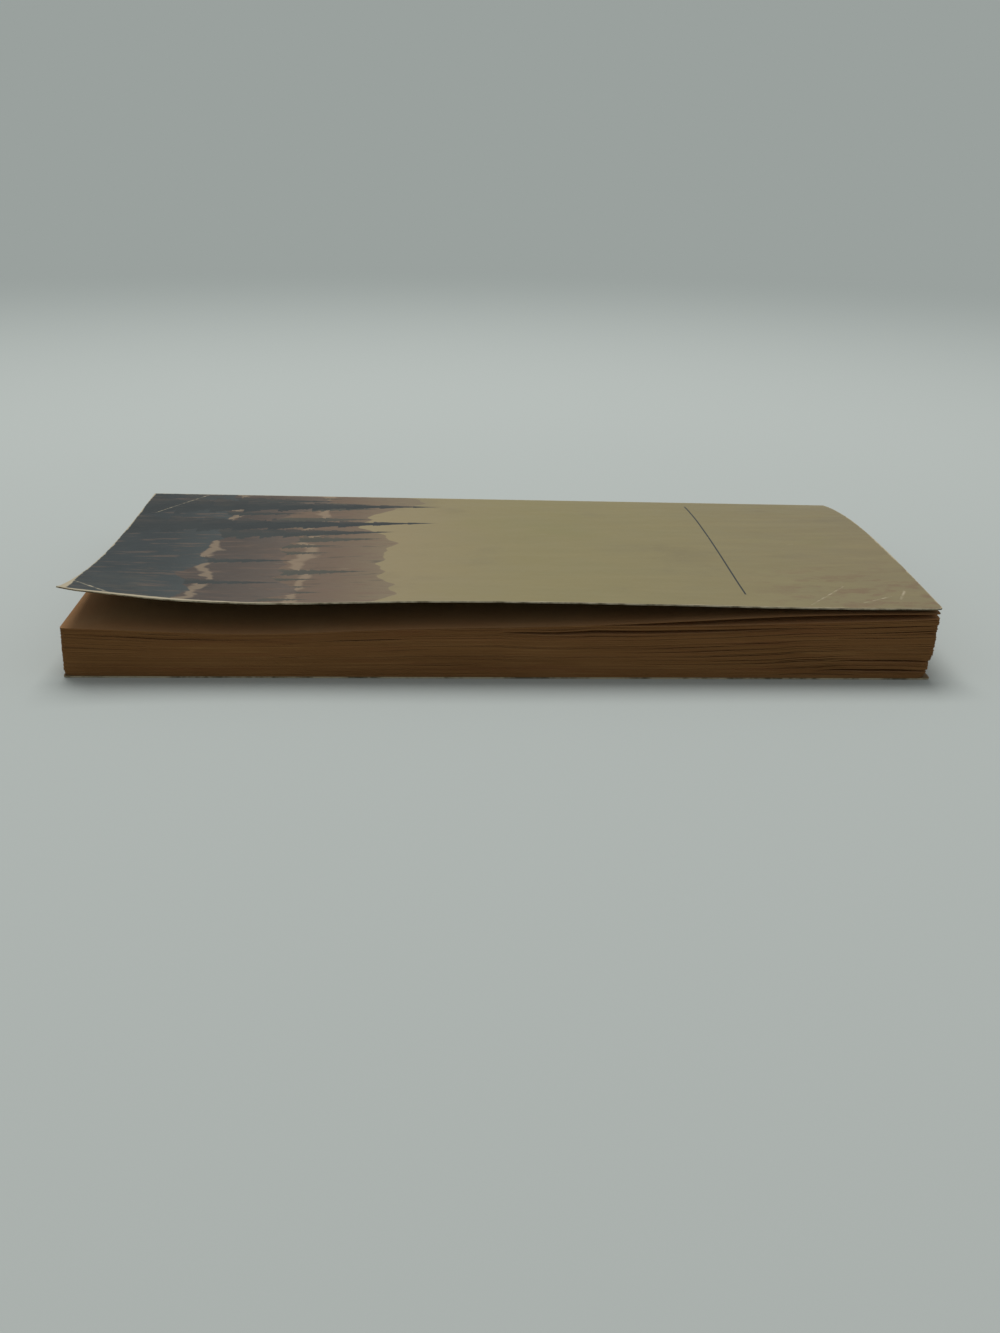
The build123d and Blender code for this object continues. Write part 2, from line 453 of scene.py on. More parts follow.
    def build(self, faces: list[bpy.types.Material]) -> list[bpy.types.Object]:
        """Makes the leaves as four stacks of sheets and gives them their paper.

        Args:
            faces: Materials for a leaf's two faces and its edge.

        Returns:
            The new pieces, lowest first.
        """
        shape = self.shape
        share = np.linspace(0, 1, self.rows + 1)[:, None]
        inward = np.array([*self.columns_in, shape.glue_near - shape.fore])[None]
        under, over = self.heights(share, inward)
        x, y = self.edges(under, share, inward)
        rng = np.random.default_rng(SEED + 2)
        count = shape.leaf_count
        group = np.cumsum(rng.normal(0, 0.35, count))
        group = (group - np.linspace(group[0], group[-1], count)) / 3
        tone = np.clip(group + rng.normal(0, 0.55, count), -1.6, 1.6)[:, None, None]
        ends = np.minimum(x - shape.foot, shape.head - x)
        edge = np.minimum(ends, np.broadcast_to(inward, under.shape))
        made = []
        for name, chosen in zip(self.pieces, np.array_split(np.arange(count), len(self.pieces))):
            piece = closed_sheets(
                name,
                np.stack([x, y, over], -1)[chosen],
                np.stack([x, y, under], -1)[chosen],
                {"tone": np.broadcast_to(tone, under.shape)[chosen], "edge_mm": edge[chosen]},
            )
            for material in faces:
                piece.data.materials.append(material)
            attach(piece, "block")
            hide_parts("text_block")
            LOG.info("%s: %d leaves, %d faces", name, len(chosen), len(piece.data.polygons))
            made.append(piece)
        return made


@dataclass
class Wrapper:
    """The folded card round the book, in two pieces that meet low on the spine.

    The first runs from the front cover's fore edge over the upper fold and down the spine. The second runs
    on over the lower fold and under the book.
    """

    shape: BookShape
    fold_radius: float = 0.9
    corner_wear: float = 0.8
    seam_height: float = 1.6
    turn_reach: float = 1.3
    nick_depth: float = 0.05
    nick_reach: float = 0.5
    fray: float = 0.06
    cockle: float = 0.1
    tip_rise: float = 0.35
    tip_reach: float = 4.5
    rows: int = 176

    def corner_columns(self) -> Array:
        """Distances from the fore edge within the worn corners: r(1 - cos a), closest at the edge."""
        turn = np.linspace(0, np.pi / 2, 7)
        return self.corner_wear * (1 - np.cos(turn))

    def across(self) -> tuple[Array, Array]:
        """Columns of the panel from the fore edge to the fold's start, and the turn of the fold's columns."""
        width = self.shape.spine - self.shape.fore
        panel = np.linspace(self.corner_wear, width - self.fold_radius, 104)
        return np.concatenate([self.corner_columns()[:-1], panel]), np.linspace(0, np.pi / 2, 9)[1:]

    def ends(self, inward: Array, head: Array) -> tuple[Array, Array]:
        """Where the sheet starts and stops along the book, with its corners worn round.

        Args:
            inward: Distance from the fore edge of each column.
            head: Where each column stops before the wear.

        Returns:
            The foot and head ends of each column.
        """
        rng = np.random.default_rng(SEED + 3)
        short = np.clip(self.corner_wear - inward, 0, self.corner_wear)
        inset = self.corner_wear - np.sqrt(self.corner_wear**2 - short**2)
        fray_foot = self.fray * np.abs(soft_waves(inward, rng, 9, 23.0))
        fray_head = self.fray * np.abs(soft_waves(inward, rng, 9, 31.0))
        return self.shape.foot + inset + fray_foot, head - inset - fray_head

    def dents(self, x: Array, inward: Array) -> Array:
        """Small lasting bends of the card: a cockle, the corner's turned-up tip and two soft dents."""
        rng = np.random.default_rng(SEED + 4)
        shape = self.shape
        cockle = self.cockle * soft_waves(x + 0.6 * inward, rng, 5, 90.0)
        cockle *= soft_waves(inward - 0.3 * x, rng, 4, 70.0)
        diagonal = (x - shape.foot) + inward
        tip = self.tip_rise * np.clip(1 - diagonal / self.tip_reach, 0, 1) ** 1.5
        edge_dent = -0.16 * np.exp(-((x - shape.foot - 22) ** 2) / 60 - inward**2 / 40)
        head_dent = -0.14 * np.exp(-((x - shape.head + 14) ** 2) / 30 - (inward - 9) ** 2 / 50)
        near_fold = smooth_step(shape.spine - shape.fore - inward, 0.0, 14.0)
        return (cockle + edge_dent + head_dent + tip) * near_fold

    def offset(self, outer: Array) -> Array:
        """The sheet's inner face: the outer one moved in by the card's thickness, square to the section."""
        along = np.gradient(outer[..., 1:], axis=1)
        along /= np.linalg.norm(along, axis=-1, keepdims=True)
        inner = outer.copy()
        inner[..., 1] += along[..., 1] * self.shape.card
        inner[..., 2] -= along[..., 0] * self.shape.card
        return inner

    def sheet(self, name: str, outer: Array, inner: Array, run: Array, inward: Array) -> bpy.types.Object:
        """Closes one piece of the wrapper.

        Args:
            name: The piece's name.
            outer: Points of the printed face, shape (rows, columns, 3).
            inner: Points of the bare face.
            run: Distance of each column round the sheet from the fore edge, for the print.
            inward: Distance of each column from the fore edge in plan, for the wear.

        Returns:
            The new object.
        """
        shape = self.shape
        x = outer[..., 0]
        ends = np.minimum(x - shape.foot, shape.head - x)
        edge = np.minimum(ends, np.broadcast_to(inward, x.shape))
        flat = np.stack([(x - shape.foot) * MM, np.broadcast_to(run * MM, x.shape)], -1)
        return closed_sheets(name, outer[None], inner[None], {"edge_mm": edge[None]}, flat[None])

    def build_front(self, faces: list[bpy.types.Material]) -> bpy.types.Object:
        """Makes the front cover with the upper fold and the spine."""
        shape = self.shape
        inward, turn = self.across()
        x_share = np.linspace(0, 1, self.rows + 1)[:, None]
        drop = np.linspace(0, 1, 13)[1:]
        columns = len(inward) + len(turn) + len(drop)
        plan = np.concatenate([inward, np.full(columns - len(inward), shape.spine - shape.fore)])
        foot, head = self.ends(plan, np.full(columns, shape.head))
        x = foot + x_share * (head - foot)
        panel = x[:, : len(inward)]
        panel_z = shape.cover_top(panel, inward) + self.dents(panel, inward)
        nicks = self.nick_depth * np.abs(np.sin(panel * 0.9) * np.sin(panel * 0.23))
        panel_y = shape.fore + inward + nicks * (inward < self.nick_reach)
        bend = x[:, len(inward) : len(inward) + len(turn)]
        low = shape.fold(bend) - self.fold_radius
        bend_z = low + (panel_z[:, -1:] - low) * np.cos(turn)
        bend_y = shape.spine - self.fold_radius * (1 - np.sin(turn)) + 0 * bend
        down = x[:, len(inward) + len(turn) :]
        down_z = shape.fold(down) - self.fold_radius
        down_z = down_z + (self.seam_height - down_z) * drop
        outer = np.stack(
            [
                x,
                np.concatenate([panel_y, bend_y, np.full_like(down, shape.spine)], 1),
                np.concatenate([panel_z, bend_z, down_z], 1),
            ],
            -1,
        )
        round_fold = self.fold_radius * turn
        start = inward[-1]
        depth = shape.fold_middle - self.fold_radius - self.seam_height
        run = np.concatenate([inward, start + round_fold, start + round_fold[-1] + depth * drop])
        piece = self.sheet("wrapper_front", outer, self.offset(outer), run, plan)
        self.dress(piece, faces)
        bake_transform(piece)
        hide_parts("front_cover", "spine_panel")
        return piece

    def build_back(self, faces: list[bpy.types.Material]) -> bpy.types.Object:
        """Makes the foot of the spine with the lower fold and the back cover."""
        shape = self.shape
        inward, turn = self.across()
        x_share = np.linspace(0, 1, self.rows + 1)[:, None]
        drop = np.linspace(0, 1, 4)
        back = inward[::-1]
        turn_back = turn[:-1]
        columns = len(drop) + len(turn_back) + len(back)
        plan = np.concatenate([np.full(columns - len(back), shape.spine - shape.fore), back])
        lean = smooth_step(shape.spine - shape.fore - plan, 0.5, 25.0)
        foot, head = self.ends(plan, shape.head + (shape.back_head - shape.head) * lean)
        x = foot + x_share * (head - foot)
        z = np.concatenate(
            [
                self.seam_height + (self.fold_radius - self.seam_height) * drop,
                self.fold_radius * (1 - np.sin(turn_back)),
                np.zeros(len(back)),
            ]
        )
        y = np.concatenate(
            [
                np.full(len(drop), shape.spine),
                shape.spine - self.fold_radius * (1 - np.cos(turn_back)),
                shape.fore + back,
            ]
        )
        outer = np.stack([x, np.broadcast_to(y, x.shape), np.broadcast_to(z, x.shape)], -1)
        steps = np.hypot(np.diff(y), np.diff(z))
        run = (shape.spine - shape.fore) + np.concatenate([[0], np.cumsum(steps)])
        piece = self.sheet("wrapper_back", outer, self.offset(outer), run, plan)
        self.dress(piece, faces)
        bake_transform(piece)
        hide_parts("back_cover")
        return piece

    def dress(self, piece: bpy.types.Object, faces: list[bpy.types.Material]) -> None:
        """Gives a piece of the wrapper its three materials, and reports it."""
        for material in faces:
            piece.data.materials.append(material)
        LOG.info("%s: %d faces", piece.name, len(piece.data.polygons))


Socket = bpy.types.NodeSocket
Value = Socket | float | tuple


class Graph:
    """A material's nodes, with one short call for each kind that the finishes use."""

    def __init__(self, name: str) -> None:
        """Starts an empty material."""
        self.material = bpy.data.materials.new(name)
        self.material.use_nodes = True
        self.tree = self.material.node_tree
        self.tree.nodes.clear()

    def node(self, kind: str, inputs: dict | None = None, **settings) -> bpy.types.Node:
        """Adds a node, sets its properties and feeds its inputs from sockets or plain values."""
        made = self.tree.nodes.new(kind)
        for key, value in settings.items():
            setattr(made, key, value)
        for key, value in (inputs or {}).items():
            if isinstance(value, Socket):
                self.tree.links.new(value, made.inputs[key])
            else:
                made.inputs[key].default_value = value
        return made

    def math(self, operation: str, first: Value, second: Value = 0.0) -> Socket:
        """One arithmetic step."""
        return self.node("ShaderNodeMath", {0: first, 1: second}, operation=operation).outputs[0]

    def add(self, first: Value, second: Value) -> Socket:
        """first + second."""
        return self.math("ADD", first, second)

    def less(self, first: Value, second: Value) -> Socket:
        """first - second."""
        return self.math("SUBTRACT", first, second)

    def times(self, first: Value, second: Value) -> Socket:
        """first * second."""
        return self.math("MULTIPLY", first, second)

    def most(self, first: Value, second: Value) -> Socket:
        """The larger of the two."""
        return self.math("MAXIMUM", first, second)

    def ease(self, value: Value, low: Value, high: Value, start: float = 0.0, end: float = 1.0) -> Socket:
        """Runs smoothly from start, where value is low, to end, where it is high."""
        inputs = {"Value": value, "From Min": low, "From Max": high, "To Min": start, "To Max": end}
        return self.node("ShaderNodeMapRange", inputs, interpolation_type="SMOOTHSTEP").outputs["Result"]

    def blend(self, factor: Value, first: Value, second: Value, mode: str = "MIX") -> Socket:
        """Mixes two colours."""
        mixed = self.node("ShaderNodeMix", data_type="RGBA", blend_type=mode)
        for index, value in ((0, factor), (6, first), (7, second)):
            if isinstance(value, Socket):
                self.tree.links.new(value, mixed.inputs[index])
            else:
                mixed.inputs[index].default_value = value
        return mixed.outputs[2]

    def stretch(self, place: Value, scale: tuple[float, float, float], shift: tuple = (0, 0, 0)) -> Socket:
        """Scales a place, axis by axis, and then shifts it."""
        inputs = {0: place, 1: scale, 2: shift}
        return self.node("ShaderNodeVectorMath", inputs, operation="MULTIPLY_ADD").outputs[0]

    def noise(self, place: Value, scale: float = 1.0, detail: float = 2.0, rough: float = 0.5):
        """Smooth noise between about 0 and 1, at so many waves for each unit of place."""
        inputs = {"Vector": place, "Scale": scale, "Detail": detail, "Roughness": rough}
        return self.node("ShaderNodeTexNoise", inputs, noise_dimensions="3D").outputs["Fac"]

    def chance(self, value: Value) -> Socket:
        """A random number between 0 and 1 for each whole value."""
        return self.node("ShaderNodeTexWhiteNoise", {"W": value}, noise_dimensions="1D").outputs["Value"]

    def attribute(self, name: str) -> Socket:
        """A number kept on the mesh."""
        return self.node("ShaderNodeAttribute", attribute_name=name).outputs["Fac"]

    def bump(self, height: Value, distance: float, strength: float = 1.0) -> Socket:
        """A normal that follows a height between 0 and 1, worth so many metres."""
        inputs = {"Height": height, "Distance": distance, "Strength": strength}
        return self.node("ShaderNodeBump", inputs).outputs["Normal"]

    def surface(
        self, colour: Value, roughness: Value, specular: float, relief: Value, depth: float, strength: float
    ) -> bpy.types.Material:
        """Ends the graph in one shader with a relief worth so many metres, and returns the material."""
        inputs = {"Base Color": colour, "Roughness": roughness, "Specular IOR Level": specular}
        inputs["Normal"] = self.bump(relief, depth, strength)
        shader = self.node("ShaderNodeBsdfPrincipled", inputs)
        self.node("ShaderNodeOutputMaterial", {"Surface": shader.outputs[0]})
        return self.material


@dataclass(frozen=True)
class PagePaper:
    """Cheap uncoated paper, browned from its cut edges inwards."""

    heart: Colour = tint(178, 147, 108)
    toned: Colour = tint(166, 124, 84)
    cut_brown: Colour = tint(124, 87, 50)
    cut_dark: Colour = tint(94, 61, 33)
    cut_pale: Colour = tint(148, 110, 68)

    def face(self) -> bpy.types.Material:
        """A leaf's printed side, left without print: browner towards its edges, with faint fibre."""
        g = Graph("page_face")
        place = g.node("ShaderNodeTexCoord").outputs["Object"]
        edge = g.attribute("edge_mm")
        cloud = g.noise(place, 60, 3, 0.6)
        reach = g.add(edge, g.times(g.less(cloud, 0.5), 14))
        colour = g.blend(g.ease(reach, -2, 16), self.toned, self.heart)
        fleck = g.noise(place, 900, 2, 0.7)
        colour = g.blend(g.ease(fleck, 0.62, 0.78, 0, 0.35), colour, self.cut_brown)
        fibre = g.noise(g.stretch(place, (900, 2400, 900)), 1, 3, 0.6)
        return g.surface(colour, 0.92, 0.2, fibre, 0.00003, 0.5)

    def cut(self) -> bpy.types.Material:
        """A leaf's guillotined edge: each leaf has its own tone, with streaks and patches along it."""
        g = Graph("page_edge")
        place = g.node("ShaderNodeTexCoord").outputs["Object"]
        tone = g.attribute("tone")
        streak = g.noise(g.stretch(place, (55, 55, 5200)), 1, 3, 0.65)
        patch = g.noise(g.stretch(place, (26, 26, 260)), 1, 3, 0.6)
        level = g.add(g.times(tone, 0.16), g.times(g.less(streak, 0.5), 1.25))
        level = g.add(level, g.times(g.less(patch, 0.5), 0.9))
        colour = g.blend(g.ease(level, 0, 0.62), self.cut_brown, self.cut_pale)
        colour = g.blend(g.ease(level, 0, -0.55), colour, self.cut_dark)
        warm = g.noise(g.stretch(place, (40, 40, 700), (3, 1, 2)), 1, 2, 0.5)
        colour = g.blend(g.ease(warm, 0.5, 0.75, 0, 0.3), colour, tint(128, 80, 50))
        nap = g.noise(g.stretch(place, (700, 700, 9000)), 1, 2, 0.6)
        return g.surface(colour, 0.95, 0.15, nap, 0.00005, 0.6)


@dataclass(frozen=True)
class Hills:
    """One range of hills across the foot of the front cover, printed flat with a brushed lower part.

    Attributes:
        level: Mean height of the skyline over the book's foot, in metres.
        swing: How far it rises and falls from that.
        waves: How many rises for each metre of width.
        far: Colour just under the skyline.
        near: Colour lower down.
        seed: Which skyline.
    """

    level: float
    swing: float
    waves: float
    far: Colour
    near: Colour
    seed: float


@dataclass(frozen=True)
class Conifers:
    """A row of pointed trees across the front cover.

    Attributes:
        spacing: Distance between trunks, in metres.
        ground: Height of their feet over the book's foot.
        shortest: Least height of a tree.
        tallest: Most height of a tree.
        girth: Half the width at the lowest boughs, as a share of the height.
        share: How many places in the row hold a tree.
        colour: Their main colour.
        light: Colour of the boughs' lit sides.
        seed: Which row.
    """

    spacing: float
    ground: float
    shortest: float
    tallest: float
    girth: float
    share: float
    colour: Colour
    light: Colour
    seed: float


@dataclass(frozen=True)
class CoverCard:
    """Coated card: a printed, rubbed outside, a bare inside and a pale cut edge.

    The front's print is a plain gold ground with a landscape of hills and conifers along the foot, and one
    thin rule across it near the head.
    """

    gold: Colour = tint(133, 122, 82)
    gold_low: Colour = tint(138, 125, 90)
    gold_head: Colour = tint(126, 113, 82)
    brushed: Colour = tint(118, 92, 68)
    ink: Colour = tint(30, 37, 38)
    bare: Colour = tint(178, 166, 140)
    soiled: Colour = tint(98, 88, 68)
    inside: Colour = tint(150, 130, 98)
    inside_edge: Colour = tint(120, 96, 66)
    rule_place: float = 0.137
    rule_width: float = 0.00035
    front_width: float = 0.106
    creases: tuple[tuple, ...] = (
        ((0.1682, 0.0065), (0.1705, 0.0120), 0.0004),
        ((0.1600, 0.0040), (0.1668, 0.0085), 0.0003),
        ((0.1490, 0.0020), (0.1585, 0.0155), 0.0003),
        ((0.0040, 0.0850), (0.0145, 0.1050), 0.0003),
        ((0.0000, 0.0130), (0.0110, 0.0000), 0.0004),
        ((0.0, 0.1102), (0.175, 0.1108), 0.0002),
        ((0.0, 0.1131), (0.175, 0.1127), 0.0002),
    )
    hills: tuple[Hills, ...] = (
        Hills(0.062, 0.012, 34, tint(126, 110, 84), tint(104, 84, 66), 3.0),
        Hills(0.040, 0.011, 46, tint(94, 80, 68), tint(70, 58, 50), 8.0),
        Hills(0.022, 0.006, 60, tint(58, 64, 63), tint(36, 43, 45), 14.0),
    )
    mists: tuple[tuple[float, float], ...] = ((0.0445, 0.0022), (0.0235, 0.0016))
    trees: tuple[Conifers, ...] = (
        Conifers(0.0062, 0.040, 0.010, 0.022, 0.20, 0.5, tint(66, 64, 54), tint(92, 78, 62), 31.0),
        Conifers(0.0115, 0.016, 0.026, 0.050, 0.17, 0.62, tint(42, 46, 44), tint(76, 62, 52), 57.0),
        Conifers(0.0205, 0.000, 0.044, 0.082, 0.14, 0.7, tint(30, 36, 37), tint(62, 56, 50), 83.0),
    )

    def range_mask(self, g: Graph, along: Value, across: Value, hills: Hills) -> Socket:
        """1 under a skyline that rises and falls by noise, and 0 over it."""
        line = g.node("ShaderNodeCombineXYZ", {"X": across, "Y": hills.seed}).outputs[0]
        rise = g.times(g.less(g.noise(line, hills.waves, 3, 0.5), 0.5), 4 * hills.swing)
        height = g.less(along, g.add(rise, hills.level))
        return g.ease(height, 0.0002, -0.0002)

    def tree_mask(self, g: Graph, along: Value, across: Value, row: Conifers) -> tuple[Socket, Socket]:
        """1 inside a row of trees, and how strongly the light catches each place.

        The width of the sheet is cut into equal places. Chance gives each its trunk's place, its height and
        whether it holds a tree. A tree narrows evenly to its tip, and within each tier of boughs it narrows
        from the tier's foot up, so that its outline is toothed.

        Args:
            g: The material's graph.
            along: Height over the book's foot.
            across: Distance from the fore edge.
            row: The row's sizes.

        Returns:
            The mask and the lit side's share.
        """
        place = g.math("DIVIDE", across, row.spacing)
        cell = g.math("FLOOR", place)
        trunk = g.add(g.chance(g.add(cell, row.seed)), 1.1)
        trunk = g.times(g.add(cell, g.times(trunk, 0.32)), row.spacing)
        tall = g.chance(g.add(cell, row.seed + 7.3))
        height = g.ease(tall, 0.0, 1.0, row.shortest, row.tallest)
        up = g.math("DIVIDE", g.less(along, row.ground), height)
        tier = g.math("FRACT", g.times(up, 9.0))
        taper = g.times(g.less(1.0, up), g.less(1.0, g.times(tier, 0.42)))
        waver = g.noise(g.node("ShaderNodeCombineXYZ", {"X": along, "Y": across}).outputs[0], 900, 2, 0.6)
        half = g.times(g.times(taper, height), row.girth)
        half = g.times(half, g.add(g.times(waver, 0.9), 0.55))
        aside = g.less(across, trunk)
        inside = g.ease(g.less(half, g.math("ABSOLUTE", aside)), 0.0, 0.00022)
        inside = g.times(inside, g.ease(up, 1.0, 0.985))
        present = g.math("LESS_THAN", g.chance(g.add(cell, row.seed + 3.7)), row.share)
        lit = g.ease(g.math("DIVIDE", aside, g.most(half, 0.0001)), -0.2, 1.0)
        return g.times(inside, present), g.times(lit, g.less(1.2, tier))

    def printed(self, g: Graph, along: Value, across: Value) -> Socket:
        """The print's colours over the unrolled sheet.

        Args:
            g: The material's graph.
            along: Height over the book's foot, in metres.
            across: Distance from the front's fore edge round the sheet.

        Returns:
            The colour.
        """
        flat = g.node("ShaderNodeCombineXYZ", {"X": along, "Y": across}).outputs[0]
        cloud = g.noise(flat, 22, 4, 0.6)
        strokes = g.noise(g.stretch(flat, (38, 260, 1)), 1, 4, 0.65)
        ground = g.blend(g.ease(along, 0.03, 0.1), self.gold_low, self.gold)
        ground = g.blend(g.ease(g.add(along, g.times(cloud, 0.05)), 0.12, 0.215), ground, self.gold_head)
        ground = g.blend(g.ease(strokes, 0.36, 0.7, 0, 0.35), ground, tint(142, 129, 90))
        ground = g.blend(g.ease(cloud, 0.5, 0.72, 0, 0.3), ground, tint(126, 121, 76))

        front = g.ease(across, self.front_width, self.front_width - 0.0004)
        sweep = g.noise(g.stretch(flat, (120, 210, 1), (2, 5, 0)), 1, 4, 0.7)
        corner = g.times(g.ease(along, 0.132, 0.158), g.ease(across, 0.042, 0.012))
        brush = g.times(g.times(g.ease(sweep, 0.47, 0.62), corner), front)
        colour = g.blend(g.times(brush, 0.6), ground, self.brushed)

        sky = g.ease(along, 0.098, 0.055)
        colour = g.blend(g.times(g.times(sky, front), 0.5), colour, tint(146, 128, 96))
        paint = g.noise(g.stretch(flat, (90, 420, 1), (1, 9, 0)), 1, 4, 0.65)
        for order, hills in enumerate(self.hills):
            mask = g.times(self.range_mask(g, along, across, hills), front)
            depth = g.ease(g.add(g.less(hills.level, along), g.times(paint, 0.012)), -0.002, 0.02)
            body = g.blend(depth, hills.far, hills.near)
            body = g.blend(g.ease(paint, 0.52, 0.66, 0, 0.45), body, tint(112, 88, 70))
            body = g.blend(g.ease(paint, 0.44, 0.3, 0, 0.5), body, self.ink)
            colour = g.blend(mask, colour, body)
            if order < len(self.mists):
                level, thick = self.mists[order]
                wisps = g.noise(g.stretch(flat, (60, 75, 1), (order, 2, 0)), 1, 3, 0.6)
                torn = g.times(g.less(wisps, 0.5), 0.016)
                band = g.math("ABSOLUTE", g.less(g.add(along, torn), level))
                mist = g.times(g.ease(band, thick, thick * 0.3), front)
                colour = g.blend(g.times(mist, 0.55), colour, tint(150, 130, 104))
            row = self.trees[order]
            trees, lit = self.tree_mask(g, along, across, row)
            bough = g.blend(g.times(lit, g.ease(paint, 0.38, 0.58)), row.colour, row.light)
            colour = g.blend(g.times(trees, front), colour, bough)

        rule = g.math("ABSOLUTE", g.less(along, self.rule_place))
        rule = g.ease(rule, self.rule_width * 0.62, self.rule_width * 0.4)
        span = g.times(g.ease(across, 0.0085, 0.009), g.ease(across, 0.0975, 0.097))
        worn = g.ease(g.noise(flat, 700, 2, 0.6), 0.28, 0.36)
        colour = g.blend(g.times(g.times(rule, span), worn), colour, self.ink)
        return colour

    def crease(self, g: Graph, flat: Value, start: tuple, end: tuple, width: float) -> Socket:
        """1 along a fine fold line between two places on the sheet, and 0 away from it.

        The distance is that to the nearest point of the segment: the place's shadow on the segment, held
        between its two ends.

        Args:
            g: The material's graph.
            flat: Place on the unrolled sheet.
            start: The line's first end, in metres.
            end: Its second end.
            width: How wide the line fades out to each side.

        Returns:
            The line's strength.
        """
        run = Vector((*end, 0)) - Vector((*start, 0))
        waver = g.noise(flat, 220, 2, 0.5)
        away = g.stretch(flat, (1, 1, 0), (-start[0], -start[1], 0))
        dot = g.node("ShaderNodeVectorMath", {0: away, 1: tuple(run)}, operation="DOT_PRODUCT")
        dot = dot.outputs["Value"]
        share = g.node("ShaderNodeClamp", {"Value": g.math("DIVIDE", dot, run.length_squared)}).outputs[0]
        foot = g.node("ShaderNodeVectorMath", {0: tuple(run), "Scale": share}, operation="SCALE").outputs[0]
        gap = g.node("ShaderNodeVectorMath", {0: away, 1: foot}, operation="DISTANCE").outputs["Value"]
        gap = g.add(gap, g.times(g.less(waver, 0.5), width * 1.6))
        return g.ease(gap, width, 0.0)

    def outside(self) -> bpy.types.Material:
        """The printed and coated outside, rubbed pale along its edges and folds, with creases and grime."""
        g = Graph("cover_print")
        flat = g.node("ShaderNodeUVMap", uv_map="sheet").outputs[0]
        split = g.node("ShaderNodeSeparateXYZ", {0: flat})
        along, across = split.outputs["X"], split.outputs["Y"]
        edge = g.attribute("edge_mm")
        colour = self.printed(g, along, across)

        grain = g.noise(flat, 650, 3, 0.65)
        broad = g.noise(flat, 90, 3, 0.6)
        grime = g.ease(g.noise(g.stretch(flat, (1, 1, 1), (4, 3, 0)), 34, 5, 0.7), 0.52, 0.74, 0, 0.22)
        colour = g.blend(grime, colour, self.soiled)

        foot_end = g.times(g.ease(along, 0.052, 0.012), g.ease(across, 0.02, 0.0))
        width = g.add(g.times(broad, 1.1), g.times(grain, 0.55))
        width = g.add(g.less(width, 0.62), g.times(foot_end, 1.5))
        rubbed = g.ease(g.less(width, edge), -0.12, 0.16)
        corner = g.math("SQRT", g.add(g.times(along, along), g.times(across, across)))
        tip = g.ease(g.add(corner, g.times(grain, 0.0022)), 0.0036, 0.0022)
        fold_gap = g.math("ABSOLUTE", g.less(across, self.front_width - 0.0005))
        fold_rub = g.ease(g.less(g.times(grain, 0.0017), fold_gap), 0.0, 0.0006, 0, 0.75)
        bare = g.most(g.most(rubbed, tip), fold_rub)

        creased: Value = 0.0
        for start, end, breadth in self.creases:
            creased = g.most(creased, self.crease(g, flat, start, end, breadth))
        bare = g.most(bare, g.times(creased, g.ease(grain, 0.42, 0.62, 0.15, 0.9)))
        colour = g.blend(g.times(bare, 0.92), colour, self.bare)

        scratch = g.noise(g.stretch(flat, (160, 2600, 1), (0, 6, 0)), 1, 2, 0.5)
        scratch = g.times(g.ease(scratch, 0.68, 0.74), g.ease(broad, 0.5, 0.62))
        colour = g.blend(g.times(scratch, 0.35), colour, self.bare)

        gloss = g.add(g.ease(broad, 0.3, 0.7, 0.46, 0.58), g.times(bare, 0.35))
        relief = g.less(g.times(grain, 0.18), g.times(creased, 0.8))
        relief = g.add(relief, g.times(broad, 0.5))
        return g.surface(colour, gloss, 0.22, relief, 0.00012, 0.5)

    def bare_side(self) -> bpy.types.Material:
        """The unprinted inside: yellowed, browner towards the edges, with small brown flecks."""
        g = Graph("cover_inside")
        flat = g.node("ShaderNodeUVMap", uv_map="sheet").outputs[0]
        edge = g.attribute("edge_mm")
        cloud = g.noise(flat, 55, 4, 0.6)
        reach = g.add(edge, g.times(g.less(cloud, 0.5), 16))
        colour = g.blend(g.ease(reach, -1, 13), self.inside_edge, self.inside)
        fleck = g.noise(flat, 800, 2, 0.7)
        colour = g.blend(g.ease(fleck, 0.6, 0.76, 0, 0.3), colour, self.inside_edge)
        fibre = g.noise(g.stretch(flat, (1200, 2600, 1)), 1, 3, 0.6)
        return g.surface(colour, 0.85, 0.25, fibre, 0.00003, 0.5)

    def cut_side(self) -> bpy.types.Material:
        """The card's cut edge: pale board, rubbed and soiled in patches."""
        g = Graph("cover_cut")
        flat = g.node("ShaderNodeUVMap", uv_map="sheet").outputs[0]
        patch = g.noise(flat, 260, 3, 0.65)
        colour = g.blend(g.ease(patch, 0.4, 0.66), self.bare, self.soiled)
        return g.surface(colour, 0.85, 0.25, patch, 0.00004, 0.6)


@dataclass(frozen=True)
class HotMelt:
    """Yellowed hot-melt glue, slightly waxy."""

    clear: Colour = tint(188, 166, 118)
    old: Colour = tint(150, 120, 74)

    def film(self) -> bpy.types.Material:
        """The glue along the back of the leaves."""
        g = Graph("glue_film")
        place = g.node("ShaderNodeTexCoord").outputs["Object"]
        cloud = g.noise(place, 420, 3, 0.6)
        colour = g.blend(g.ease(cloud, 0.35, 0.65), self.clear, self.old)
        return g.surface(colour, 0.45, 0.45, cloud, 0.00008, 0.6)


